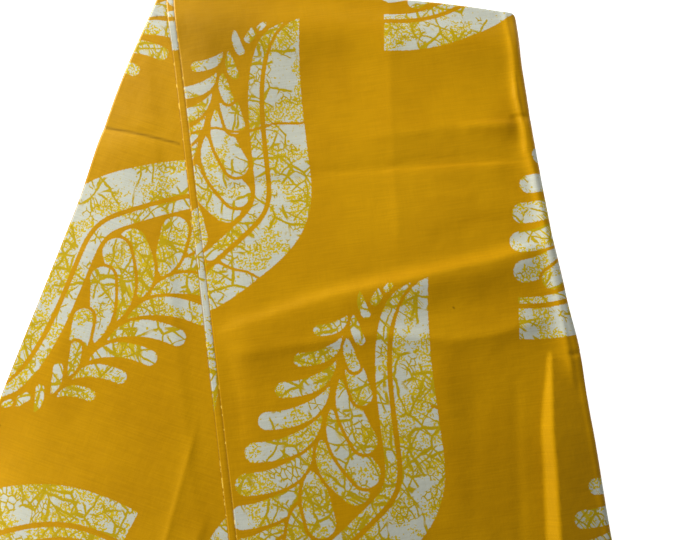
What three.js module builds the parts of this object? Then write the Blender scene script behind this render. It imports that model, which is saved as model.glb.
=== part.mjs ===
// A length of wax print cotton, folded in half lengthwise so that both selvedges lie at the left and
// a soft roll at the right, then turned over once and laid down with its two stretches apart.
// Units are millimetres and +Z is up. +X runs to the right and +Y away, towards the turn.
// The origin is on the surface that the cloth lies on, under the middle of its box.
import * as THREE from 'three';

const radians = THREE.MathUtils.degToRad;

// ---- The cut ----
const CLOTH_WIDTH = 1170;           // selvedge to selvedge, opened out flat
const UPPER_LENGTH = 1030;          // upper stretch, from the turn's left corner to its cut end
const LOWER_LENGTH = 1000;          // lower stretch, from the turn's left corner to its cut end

// ---- The layers ----
const WALL = 1.2;                   // thickness of one layer
const LAYER_GAP = 0.4;              // air between layers that lie flat on each other
const LAYER = WALL + LAYER_GAP;

// ---- How the two stretches lie ----
const UPPER_LEAN = radians(8.2);    // from the -Y direction, towards +X
const LOWER_LEAN = radians(-18);
const TURN_FALL = radians(3.1);     // the turned edge drops to the right
const CORNER_DROOP = 14;            // how far the turned edge falls back at its right end
const DROOP_START = 340;            // distance along the turned edge where that begins

// ---- Rolled edges ----
const ROLL_DEPTH = 12;              // from a rolled edge in to the line where it begins to round down
const ROLL_STEPS = 6;
const ROLL_SWEEP = radians(135);    // from the top of the roll round to where it meets the surface
const ROLL_TAKE_UP = 23;            // width lost to the lengthwise roll, measured on one layer

// ---- Edges of the layers ----
const UNDER_PROUD = 12;             // the upper stretch's under layer shows past its face layer
const PANEL_WIDTH = CLOTH_WIDTH / 2 - UNDER_PROUD / 2 - ROLL_TAKE_UP;
const LOWER_UNDER_SHY = 10;         // the lower stretch's under layer stays inside its face layer
const LOWER_WIDTH = 500;            // selvedge to the lower stretch's hidden right edge
const SEAM_REACH = 6.5;             // how far past the turn line the lower stretch reaches to its seam

// ---- Where the cloth stands up ----
const SWELL_HEIGHT = 9;             // soft hump behind the turned edge
const SWELL_PLACE = 66;             // from the turned edge to the top of the hump
const SWELL_SPREAD = 42;
const STEP_START = 55;              // past the lower stretch's hidden edge the upper one starts down
const STEP_RUN = 220;               // and reaches the surface over this run
const FOLD_END_TAPER = 60;          // folds die away over this length at each end
const OVERLAP_CLEAR = 50;           // folds of the lower stretch stop this far from the upper one

// ---- Fineness ----
const ROWS = 36;                    // rows from the turn to the cut end
const ROW_CROWDING = 1.3;           // above 1 the rows lie closer together near the turn
const FACE_COLUMNS = [
  { from: 0, to: 0.74, count: 13 },
  { from: 0.74, to: 1, count: 11 },
];
const UNDER_COLUMNS = [{ from: 0, to: 1, count: 12 }];
const LOWER_COLUMNS = [{ from: 0, to: 1, count: 14 }];
const FLAT_COLUMNS = [{ from: 0, to: 1, count: 4 }];

const GROUND_YELLOW = '#b98a10';
const SHADED_YELLOW = '#a97c0e';

// How far the rolled edge reaches past PANEL_WIDTH, down the upper stretch.
const ROLL_EDGE = [
  { along: 130, across: 4 },
  { along: 230, across: -2 },
  { along: 350, across: -5 },
  { along: 500, across: -5 },
  { along: 600, across: -1 },
  { along: 690, across: 4 },
  { along: 800, across: 1 },
  { along: 975, across: -3 },
];

// Where the upper stretch's under layer ends inside the roll, measured from the roll's top line.
const UNDER_EDGE = [
  { along: 160, across: -42 },
  { along: 270, across: 7 },
];

// Where the lower stretch's left selvedge runs.
const LOWER_SELVEDGE = [
  { along: 0, across: -18 },
  { along: 180, across: -24 },
  { along: 400, across: -17 },
  { along: 700, across: -19 },
  { along: 1000, across: -22 },
];

// The folds of the upper stretch: height and half width of each, and its line of across, along places.
const UPPER_FOLDS = [
  { name: 'side roll, top', height: 8, spread: 18, line: [[548, 60], [543, 226], [537, 330], [538, 470]] },
  { name: 'side roll, middle', height: 6, spread: 20, line: [[538, 420], [541, 600], [540, 760]] },
  { name: 'side ridge', height: 9, spread: 19, line: [[540, 660], [501, 760], [481, 858], [470, 1100]] },
  { name: 'upper cross band', height: 3, spread: 16, line: [[300, 277], [432, 292], [560, 307]] },
  { name: 'slanting fold', height: 4.5, spread: 27, line: [[-20, 572], [272, 531], [560, 490]] },
  { name: 'lower cross band', height: 3, spread: 20, line: [[0, 596], [259, 616], [520, 636]] },
  { name: 'hanging fold', height: 3.5, spread: 34, line: [[330, 640], [352, 800], [330, 1100]] },
];

// The folds of the lower stretch, in its own across and along places.
const LOWER_FOLDS = [
  { name: 'cross crease', height: 2.5, spread: 22, line: [[-60, 285], [120, 285]] },
  { name: 'slack near the selvedge', height: 3, spread: 30, line: [[20, 420], [60, 700], [60, 1060]] },
  { name: 'long fold', height: 2.5, spread: 26, line: [[190, 560], [240, 1060]] },
];

/** A value that eases from 0 to 1 as x does, and stays there outside. */
function ease(x) {
  const t = THREE.MathUtils.clamp(x, 0, 1);
  return t * t * (3 - 2 * t);
}

/** The across value of a table of along places, eased from row to row. */
function tableAcross(rows, along) {
  const next = rows.findIndex((row) => row.along > along);
  if (next === 0) return rows[0].across;
  if (next < 0) return rows[rows.length - 1].across;
  const before = rows[next - 1];
  const after = rows[next];
  const share = ease((along - before.along) / (after.along - before.along));
  return THREE.MathUtils.lerp(before.across, after.across, share);
}

/** One stretch's own directions in plan: across to the right, along away from the turn. */
function makeStretch(lean) {
  const acrossDir = new THREE.Vector2(Math.cos(lean), Math.sin(lean));
  const alongDir = new THREE.Vector2(Math.sin(lean), -Math.cos(lean));
  return {
    acrossDir,
    slant: lean + TURN_FALL,
    place: (across, along) => acrossDir.clone().multiplyScalar(across).addScaledVector(alongDir, along),
    read: (point) => ({ across: point.dot(acrossDir), along: point.dot(alongDir) }),
  };
}

const UPPER = makeStretch(UPPER_LEAN);
const LOWER = makeStretch(LOWER_LEAN);
const TURN_OUT = new THREE.Vector2(Math.sin(TURN_FALL), Math.cos(TURN_FALL));

/** Where, along a stretch, the turned edge's rounding begins. */
function turnLine(stretch, across) {
  const alongEdge = across / Math.cos(stretch.slant);
  const reach = PANEL_WIDTH - DROOP_START;
  const droop = CORNER_DROOP * Math.max(0, (alongEdge - DROOP_START) / reach) ** 2;
  return across * Math.tan(stretch.slant) + (ROLL_DEPTH + droop) / Math.cos(stretch.slant);
}

/** Where, across the upper stretch, its lengthwise roll begins to round down. */
function rollTopLine(along) {
  return PANEL_WIDTH + tableAcross(ROLL_EDGE, along) - ROLL_DEPTH;
}

/** Distance from a point to a fold's line, and how far it is from the line's nearer end. */
function foldDistance(line, across, along) {
  let best = Infinity;
  let place = 0;
  let run = 0;
  for (let k = 1; k < line.length; k += 1) {
    const [fromAcross, fromAlong] = line[k - 1];
    const stepAcross = line[k][0] - fromAcross;
    const stepAlong = line[k][1] - fromAlong;
    const length = Math.hypot(stepAcross, stepAlong);
    const dot = (across - fromAcross) * stepAcross + (along - fromAlong) * stepAlong;
    const share = THREE.MathUtils.clamp(dot / (length * length), 0, 1);
    const away = Math.hypot(across - fromAcross - share * stepAcross, along - fromAlong - share * stepAlong);
    if (away < best) {
      best = away;
      place = run + share * length;
    }
    run += length;
  }
  return { away: best, toEnd: Math.min(place, run - place) };
}

/** How far the folds of a table lift the cloth at a place. */
function foldLift(folds, across, along) {
  let lift = 0;
  for (const fold of folds) {
    const { away, toEnd } = foldDistance(fold.line, across, along);
    lift += fold.height * Math.exp(-((away / fold.spread) ** 2)) * ease(toEnd / FOLD_END_TAPER);
  }
  return lift;
}

/** Height of the surface that the upper stretch lies on: the lower stretch, or the table beside it. */
function bedUnderUpper(across, along) {
  const lower = LOWER.read(UPPER.place(across, along));
  return 2 * LAYER * (1 - ease((lower.across - LOWER_WIDTH - STEP_START) / STEP_RUN));
}

/** The hump that both layers of the upper stretch make behind the turned edge. */
function turnSwell(across, along) {
  const fromEdge = (along - turnLine(UPPER, across)) * Math.cos(UPPER.slant) + ROLL_DEPTH;
  return SWELL_HEIGHT * Math.exp(-(((fromEdge - SWELL_PLACE) / SWELL_SPREAD) ** 2));
}

/** Top of the upper stretch's under layer. */
function upperUnderTop(across, along) {
  return bedUnderUpper(across, along) + turnSwell(across, along) + WALL;
}

/** Top of the upper stretch's face layer. */
function upperFaceTop(across, along) {
  return upperUnderTop(across, along) + LAYER + foldLift(UPPER_FOLDS, across, along);
}

/** Top of the lower stretch's face layer, whose folds stop short of the upper stretch. */
function lowerFaceTop(across, along) {
  const upper = UPPER.read(LOWER.place(across, along));
  const clear = ease((-upper.across - OVERLAP_CLEAR) / OVERLAP_CLEAR);
  return LAYER + WALL + foldLift(LOWER_FOLDS, across, along) * clear;
}

/** The layers: sizes, edges, and whether the layer rounds down at the turn and at the right. */
const LAYERS = [
  {
    name: 'upper_stretch_face',
    colour: GROUND_YELLOW,
    stretch: UPPER,
    length: UPPER_LENGTH,
    columns: FACE_COLUMNS,
    left: () => 0,
    right: rollTopLine,
    top: upperFaceTop,
    turned: true,
    rolled: true,
    inset: 0,
  },
  {
    name: 'upper_stretch_under',
    colour: SHADED_YELLOW,
    stretch: UPPER,
    length: UPPER_LENGTH,
    columns: UNDER_COLUMNS,
    left: () => -UNDER_PROUD,
    right: (along) => rollTopLine(along) + tableAcross(UNDER_EDGE, along),
    top: upperUnderTop,
    turned: true,
    rolled: false,
    inset: LAYER,
  },
  {
    name: 'lower_stretch_face',
    colour: GROUND_YELLOW,
    stretch: LOWER,
    length: LOWER_LENGTH,
    columns: LOWER_COLUMNS,
    left: (along) => tableAcross(LOWER_SELVEDGE, along),
    right: () => LOWER_WIDTH,
    top: lowerFaceTop,
    turned: false,
    rolled: false,
  },
  {
    name: 'lower_stretch_under',
    colour: SHADED_YELLOW,
    stretch: LOWER,
    length: LOWER_LENGTH,
    columns: FLAT_COLUMNS,
    left: (along) => tableAcross(LOWER_SELVEDGE, along) + LOWER_UNDER_SHY,
    right: () => LOWER_WIDTH,
    top: () => WALL,
    turned: false,
    rolled: false,
  },
];

/** Column places as shares of a layer's width, then the steps round its roll. */
function columnPlaces(layer) {
  const places = [{ share: 0, step: 0 }];
  for (const { from, to, count } of layer.columns) {
    for (let k = 1; k <= count; k += 1) places.push({ share: from + ((to - from) * k) / count, step: 0 });
  }
  if (layer.rolled) for (let k = 1; k <= ROLL_STEPS; k += 1) places.push({ share: 1, step: k });
  return places;
}

/** Row places: the steps round the turn from its lowest up, then shares of the length. */
function rowPlaces(layer) {
  const places = [];
  if (layer.turned) for (let k = ROLL_STEPS; k >= 1; k -= 1) places.push({ share: 0, step: k });
  for (let k = 0; k <= ROWS; k += 1) places.push({ share: (k / ROWS) ** ROW_CROWDING, step: 0 });
  return places;
}

/** A point of a rolled edge: how far out and how high, for a roll of this height, set in by some depth. */
function rollPoint(height, step, depth) {
  const angle = (ROLL_SWEEP * step) / ROLL_STEPS;
  const drop = height / (1 - Math.cos(ROLL_SWEEP));
  const facing = new THREE.Vector2(drop * Math.sin(angle), ROLL_DEPTH * Math.cos(angle)).normalize();
  const outer = new THREE.Vector2(
    ROLL_DEPTH * Math.sin(angle),
    drop * (Math.cos(angle) - Math.cos(ROLL_SWEEP)),
  );
  return outer.addScaledVector(facing, -depth);
}

/** One point of a layer, on its outer side or, a wall's thickness in, on its inner side. */
function layerPoint(layer, column, row, depth) {
  const { stretch } = layer;
  const roughAcross = THREE.MathUtils.lerp(layer.left(0), layer.right(0), column.share);
  const start = turnLine(stretch, roughAcross) - (layer.turned ? 0 : SEAM_REACH);
  const along = THREE.MathUtils.lerp(start, layer.length, row.share);
  const across = THREE.MathUtils.lerp(layer.left(along), layer.right(along), column.share);
  const place = stretch.place(across, along);
  const step = Math.max(column.step, row.step);
  const top = layer.top(across, along);
  if (step === 0) return new THREE.Vector3(place.x, place.y, top - depth);

  const bearing = (Math.PI / 2) * (row.step / (row.step + column.step));
  const out = stretch.acrossDir.clone().multiplyScalar(Math.cos(bearing));
  out.addScaledVector(TURN_OUT, Math.sin(bearing)).normalize();
  const roll = rollPoint(top + layer.inset, step, layer.inset + depth);
  place.addScaledVector(out, roll.x);
  return new THREE.Vector3(place.x, place.y, roll.y);
}

/** A closed wall between two grids of points that have the same rows and columns. */
function wallGeometry(outer, inner) {
  const rows = outer.length;
  const columns = outer[0].length;
  const points = [...outer.flat(), ...inner.flat()];
  const outerAt = (row, column) => row * columns + column;
  const innerAt = (row, column) => rows * columns + outerAt(row, column);
  const faces = [];
  const quad = (a, b, c, d) => faces.push(a, b, c, a, c, d);
  for (let r = 1; r < rows; r += 1) {
    for (let c = 1; c < columns; c += 1) {
      quad(outerAt(r - 1, c - 1), outerAt(r, c - 1), outerAt(r, c), outerAt(r - 1, c));
      quad(innerAt(r - 1, c - 1), innerAt(r - 1, c), innerAt(r, c), innerAt(r, c - 1));
    }
    quad(outerAt(r - 1, 0), innerAt(r - 1, 0), innerAt(r, 0), outerAt(r, 0));
    const last = columns - 1;
    quad(outerAt(r, last), innerAt(r, last), innerAt(r - 1, last), outerAt(r - 1, last));
  }
  for (let c = 1; c < columns; c += 1) {
    quad(outerAt(0, c), innerAt(0, c), innerAt(0, c - 1), outerAt(0, c - 1));
    const last = rows - 1;
    quad(outerAt(last, c - 1), innerAt(last, c - 1), innerAt(last, c), outerAt(last, c));
  }
  const geometry = new THREE.BufferGeometry().setFromPoints(points);
  geometry.setIndex(faces);
  geometry.computeVertexNormals();
  return geometry;
}

/** One layer of cloth as a named mesh. */
function makeLayer(layer) {
  const columns = columnPlaces(layer);
  const rows = rowPlaces(layer);
  const grid = (depth) => rows.map((row) => columns.map((column) => layerPoint(layer, column, row, depth)));
  const material = new THREE.MeshStandardMaterial({ color: layer.colour, roughness: 0.85, metalness: 0 });
  const mesh = new THREE.Mesh(wallGeometry(grid(0), grid(WALL)), material);
  mesh.name = layer.name;
  return mesh;
}

/** The whole cloth, moved so that the origin is under the middle of its box. */
function makeCloth() {
  const cloth = new THREE.Group();
  for (const layer of LAYERS) cloth.add(makeLayer(layer));
  const box = new THREE.Box3().setFromObject(cloth);
  const middle = box.getCenter(new THREE.Vector3());
  cloth.position.set(-middle.x, -middle.y, -box.min.z);
  return cloth;
}

export default makeCloth();
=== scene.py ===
"""A length of wax print cotton, folded in half lengthwise, turned over once and laid flat.

Metres, +Z up, +X to the right and +Y away, towards the turn. The origin is on the surface that
the cloth lies on, under the middle of its box. Each stretch of the cloth has its own directions
in plan: across, to the right from its left edge, and along, from the turn to its cut end.
"""

import logging
import math
from collections.abc import Callable, Mapping
from dataclasses import dataclass
from enum import Enum
from functools import partial

import bpy
import numpy as np
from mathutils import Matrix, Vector

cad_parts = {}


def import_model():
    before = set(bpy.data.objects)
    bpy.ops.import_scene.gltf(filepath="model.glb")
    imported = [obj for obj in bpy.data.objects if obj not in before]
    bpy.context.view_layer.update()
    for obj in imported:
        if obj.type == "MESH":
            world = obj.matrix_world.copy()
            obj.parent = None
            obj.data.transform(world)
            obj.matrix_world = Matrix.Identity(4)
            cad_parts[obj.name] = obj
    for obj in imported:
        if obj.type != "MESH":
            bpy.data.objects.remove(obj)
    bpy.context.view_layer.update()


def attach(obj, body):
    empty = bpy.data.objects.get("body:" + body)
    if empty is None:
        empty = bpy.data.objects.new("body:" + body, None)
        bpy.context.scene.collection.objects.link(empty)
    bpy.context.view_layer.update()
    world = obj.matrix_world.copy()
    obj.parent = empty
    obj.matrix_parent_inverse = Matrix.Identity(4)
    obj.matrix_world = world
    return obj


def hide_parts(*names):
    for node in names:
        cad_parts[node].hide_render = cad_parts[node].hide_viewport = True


LOG = logging.getLogger("wax_print_cotton")
SLOT = "wax_print_cotton"
MM = 0.001

Array = np.ndarray
Pair = tuple[float, float]
Table = tuple[Pair, ...]
Triple = tuple[float, float, float]
Triples = tuple[Triple, ...]
Colour = tuple[float, float, float, float]
Edge = Callable[[Array], Array]


class Layer(Enum):
    """The four layers of the folded cloth; each value is the name of its CAD node."""

    UPPER_FACE = "upper_stretch_face"
    UPPER_UNDER = "upper_stretch_under"
    LOWER_FACE = "lower_stretch_face"
    LOWER_UNDER = "lower_stretch_under"


class Profile(Enum):
    """The shape of a fold across its line."""

    SOFT = "rounded on top"
    CUSP = "rising to a crease and falling away from it"
    FACET = "two flat flanks, as wide as the fold is high"


class Mark(Enum):
    """Values that each point of the cloth carries for its finish."""

    CLOTH = "cloth_place"
    PRINT = "print_depth"
    SELVEDGE = "selvedge_distance"
    # dark marks: real stains and painted shade
    STAIN_AND_SHADE = "stain"
    WEAR = "wax_wear"


def ease(x: Array | float) -> Array:
    """Ease from 0 to 1 as x does, and stay there outside."""
    t = np.clip(x, 0.0, 1.0)
    return t * t * (3.0 - 2.0 * t)


def lerp(a: Array | float, b: Array | float, share: Array | float) -> Array:
    """Go from a to b by a share."""
    return a + (b - a) * share


def stepped(terms: tuple[float, ...], k: float) -> float:
    """Step from the first term by the second one, k times, and by the growth of the third."""
    return sum(term * k**power for power, term in enumerate(terms))


def add_object(name: str, data: bpy.types.ID) -> bpy.types.Object:
    """Make an object from its data and link it into the scene."""
    made = bpy.data.objects.new(name, data)
    bpy.context.scene.collection.objects.link(made)
    return made


def straight(across: float) -> Edge:
    """Make an edge that stays at one across value, in metres."""
    return lambda along: np.full_like(along, across)


def against_line(
    across: Array, along: Array, start: Array, end: Array
) -> tuple[Array, Array, Array]:
    """Measure places against a straight piece of line.

    Args:
        across: the places' across values.
        along: the places' along values.
        start: where the piece starts.
        end: where it ends.

    Returns:
        How far away each place is, its share of the way along the piece, and its side: above
        zero where it is below a piece that runs to the right.
    """
    step = end - start
    from_across, from_along = across - start[0], along - start[1]
    dot = from_across * step[0] + from_along * step[1]
    share = np.clip(dot / max(float(step @ step), 1e-12), 0.0, 1.0)
    away = np.hypot(from_across - share * step[0], from_along - share * step[1])
    return away, share, step[0] * from_along - step[1] * from_across


@dataclass(frozen=True)
class Stretch:
    """One straight run of the folded cloth, leaning from the -Y direction towards +X."""

    lean: float
    length: float
    corner: Pair = (-0.18216, 0.55285)

    @property
    def across_dir(self) -> Array:
        """The plan direction to the right of the stretch."""
        return np.array([math.cos(self.lean), math.sin(self.lean)])

    @property
    def along_dir(self) -> Array:
        """The plan direction from the turn to the cut end."""
        return np.array([math.sin(self.lean), -math.cos(self.lean)])

    def place(self, across: Array, along: Array) -> Array:
        """Turn across and along into points in plan."""
        run = across[..., None] * self.across_dir + along[..., None] * self.along_dir
        return run + np.array(self.corner)

    def read(self, plan: Array) -> tuple[Array, Array]:
        """Turn points in plan into across and along."""
        run = plan - np.array(self.corner)
        return run @ self.across_dir, run @ self.along_dir


@dataclass(frozen=True)
class EdgeTable:
    """Where an edge runs: rows of along and across, in millimetres, eased from row to row."""

    rows: Table

    def across(self, along: Array) -> Array:
        """Read the edge's across values, in metres, at along values in metres."""
        places = np.array([row[0] for row in self.rows]) * MM
        values = np.array([row[1] for row in self.rows]) * MM
        after = np.clip(np.searchsorted(places, along, side="right"), 1, len(places) - 1)
        before = after - 1
        share = ease((along - places[before]) / (places[after] - places[before]))
        return lerp(values[before], values[after], share)


@dataclass(frozen=True)
class Fold:
    """A soft ridge, or a trough where its height is below zero, in millimetres.

    Its strengths say how high it is at each point of its line, as shares of its height.

    The far spread is on the left of a line that runs down the cloth, and below one that runs
    to the right. Without it both sides are alike.
    """

    name: str
    height: float
    spread: float
    line: Table
    taper: float = 60.0
    far_spread: float | None = None
    profile: Profile = Profile.SOFT
    crease_radius: float = 3.0
    strengths: tuple[float, ...] | None = None

    def lift(self, across: Array, along: Array) -> Array:
        """Say how far the fold lifts the cloth.

        Args:
            across: across places, in metres.
            along: along places, in metres.

        Returns:
            The lift at each place, in metres.
        """
        away = np.full(np.shape(across), np.inf)
        place = np.zeros_like(away)
        side = np.zeros_like(away)
        line = np.array(self.line) * MM
        run, runs = 0.0, [0.0]
        for start, end in zip(line[:-1], line[1:]):
            gap, share, turn = against_line(across, along, start, end)
            length = math.dist(start, end)
            closer = gap < away
            side = np.where(closer, turn, side)
            away = np.where(closer, gap, away)
            place = np.where(closer, run + share * length, place)
            run += length
            runs.append(run)
        to_end = np.minimum(place, run - place)
        spread = np.where(side > 0, self.far_spread or self.spread, self.spread) * MM
        presence = ease(to_end / (self.taper * MM))
        if self.strengths:
            presence = presence * np.interp(place, runs, self.strengths)
        if self.profile is Profile.FACET:
            return self.height * MM * np.maximum(0.0, presence - away / spread)
        if self.profile is Profile.CUSP:
            radius = self.crease_radius * MM
            shape = np.exp(-(np.hypot(away, radius) - radius) / spread)
        else:
            shape = np.exp(-((away / spread) ** 2))
        return self.height * MM * shape * presence


@dataclass(frozen=True)
class Unevenness:
    """Gentle rises and dips, the same on every run."""

    height: float
    size: float
    seed: int
    cells: int = 64

    def lift(self, across: Array, along: Array) -> Array:
        """Say how far the cloth rises or dips at each place, in metres."""
        grid = np.random.default_rng(self.seed).uniform(-1.0, 1.0, (self.cells, self.cells))
        u, v = across / self.size + self.cells / 4, along / self.size + self.cells / 4
        i, j = np.floor(u).astype(int), np.floor(v).astype(int)
        s, t = ease(u - i), ease(v - j)
        i, j = i % self.cells, j % self.cells
        k, m = (i + 1) % self.cells, (j + 1) % self.cells
        near = lerp(grid[i, j], grid[k, j], s)
        far = lerp(grid[i, m], grid[k, m], s)
        return self.height * lerp(near, far, t)


@dataclass(frozen=True)
class Relief:
    """The folds and unevenness of one layer, over a little air under it."""

    folds: tuple[Fold, ...]
    unevenness: tuple[Unevenness, ...]
    loft: float
    lowest: float = -0.0004
    softness: float = 0.0005

    def lift(self, across: Array, along: Array, loft_share: Array) -> Array:
        """Add up the folds, and keep the result from sinking into the layer below.

        Args:
            across: across places, in metres.
            along: along places, in metres.
            loft_share: how much of the air there is at each place, from 0 to 1.

        Returns:
            The lift at each place, in metres.
        """
        lift = self.loft * loft_share
        for fold in self.folds:
            lift = lift + fold.lift(across, along)
        for wave in self.unevenness:
            lift = lift + wave.lift(across, along) * loft_share
        over = lift - self.lowest
        return self.lowest + (over + np.sqrt(over**2 + self.softness**2)) / 2


@dataclass(frozen=True)
class ClothLie:
    """The sizes of the folded cloth and how its two stretches lie, in metres."""

    upper: Stretch = Stretch(math.radians(8.2), 1.030)
    lower: Stretch = Stretch(math.radians(-18.0), 1.000)
    turn_fall: float = math.radians(3.1)
    corner_droop: float = 0.014
    droop_start: float = 0.340
    panel_width: float = 0.556
    roll_depth: float = 0.012
    roll_sweep: float = math.radians(135.0)
    wall: float = 0.0012
    layer: float = 0.0016
    under_proud: float = 0.012
    lower_under_shy: float = 0.010
    lower_width: float = 0.500
    seam_reach: float = 0.0065
    swell_height: float = 0.009
    swell_place: float = 0.066
    swell_spread: float = 0.042
    step_start: float = 0.055
    step_run: float = 0.220
    overlap_clear: float = 0.030
    roll_edge: EdgeTable = EdgeTable(
        ((130, 4), (230, -2), (350, -5), (500, -5), (600, -1), (690, 4), (800, 1), (975, -3))
    )
    under_edge: EdgeTable = EdgeTable(((160, -42), (270, 7)))
    lower_selvedge: EdgeTable = EdgeTable(
        ((0, -18), (180, -24), (400, -17), (700, -19), (1000, -22))
    )

    @property
    def turn_out(self) -> Array:
        """The plan direction out of the turned edge."""
        return np.array([math.sin(self.turn_fall), math.cos(self.turn_fall)])

    def slant(self, stretch: Stretch) -> float:
        """The angle between a stretch's across direction and the turned edge."""
        return stretch.lean + self.turn_fall

    def turn_line(self, stretch: Stretch, across: Array) -> Array:
        """Say where, along a stretch, the turned edge's rounding begins."""
        slant = self.slant(stretch)
        along_edge = across / math.cos(slant)
        reach = self.panel_width - self.droop_start
        droop = self.corner_droop * np.maximum(0.0, (along_edge - self.droop_start) / reach) ** 2
        return across * math.tan(slant) + (self.roll_depth + droop) / math.cos(slant)

    def roll_top_line(self, along: Array) -> Array:
        """Say where, across the upper stretch, its lengthwise roll begins to round down."""
        return self.panel_width + self.roll_edge.across(along) - self.roll_depth

    def bed(self, across: Array, along: Array) -> Array:
        """Height of what the upper stretch lies on: the lower stretch, or the table beside it."""
        lower_across, _ = self.lower.read(self.upper.place(across, along))
        past = lower_across - self.lower_width - self.step_start
        return 2 * self.layer * (1 - ease(past / self.step_run))

    def swell(self, across: Array, along: Array) -> Array:
        """Height of the hump behind the turned edge."""
        slant = math.cos(self.slant(self.upper))
        from_edge = (along - self.turn_line(self.upper, across)) * slant + self.roll_depth
        off = (from_edge - self.swell_place) / self.swell_spread
        return self.swell_height * np.exp(-(off**2))

    def upper_under_top(self, across: Array, along: Array) -> Array:
        """Top of the upper stretch's under layer."""
        return self.bed(across, along) + self.swell(across, along) + self.wall


def grow(start: Pair, headings: Array, step: float) -> Array:
    """Grow a line from headings, each turned left from the down direction of a motif.

    Args:
        start: the line's first point.
        headings: the heading of each step, in radians.
        step: the length of each step, in metres.

    Returns:
        The line's points, one more than its headings.
    """
    steps = np.stack([-np.sin(headings), np.cos(headings)], axis=1) * step
    return np.vstack([[start], np.array(start) + np.cumsum(steps, axis=0)])


@dataclass(frozen=True)
class Stroke:
    """A tapering stroke of the resist print: a line, its half width, and whether it is cut flat."""

    line: Array
    half: Array
    flat_end: bool = False

    def depth(self, points: Array) -> Array:
        """Say how deep inside the stroke points are, in metres, below zero outside."""
        best = np.full(len(points), -1.0)
        for k in range(len(self.line) - 1):
            away, share, _ = against_line(*points.T, self.line[k], self.line[k + 1])
            best = np.maximum(best, lerp(self.half[k], self.half[k + 1], share) - away)
        if self.flat_end:
            step = self.line[-1] - self.line[-2]
            best = np.minimum(best, (self.line[-1] - points) @ (step / np.linalg.norm(step)))
        return best


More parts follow.
